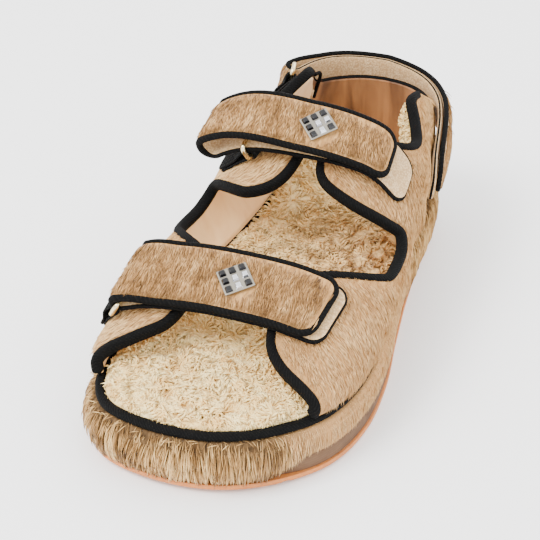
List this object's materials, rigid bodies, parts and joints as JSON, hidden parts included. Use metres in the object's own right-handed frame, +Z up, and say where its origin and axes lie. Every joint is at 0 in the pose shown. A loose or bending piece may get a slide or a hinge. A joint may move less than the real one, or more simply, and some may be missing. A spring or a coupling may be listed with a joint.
{
  "type": "dad sandal",
  "caption": "Chunky open-toe sandal: hollow two-quarter upper, folded hook-and-loop straps on rings, shearling footbed and fringed platform sole.",
  "frame": {"origin": "centre of the sandal's box in plan, on the floor plane under the outsole", "axes": "+Z up, +Y towards the heel, -Y towards the toe, +X towards the outer (lateral) side of this left sandal"},
  "size_m": [0.1158, 0.2604, 0.1017],
  "materials": {
    "hair_calf": "matte",
    "strap_calf": "matte",
    "fringe_calf": "matte",
    "shearling": "matte",
    "black_binding": "matte",
    "black_tab": "matte",
    "outsole_rubber": "matte",
    "midsole_foam": "matte",
    "ring_metal": "polished",
    "stones": "polished"
  },
  "bodies": {
    "root": {"outsole": "outsole_rubber", "midsole": "midsole_foam", "platform_wrap": "fringe_calf", "rim_binding": "black_binding", "insole": "shearling", "upper": "hair_calf", "lateral_binding": "black_binding", "medial_binding": "black_binding", "front_strap": "strap_calf", "instep_strap": "strap_calf", "heel_strap": "strap_calf", "front_ring": "ring_metal", "instep_ring": "ring_metal", "heel_ring": "ring_metal", "front_tab": "black_tab", "instep_tab": "black_tab", "heel_tab": "black_tab", "front_badge": "stones", "instep_badge": "stones"}
  },
  "joints": []
}
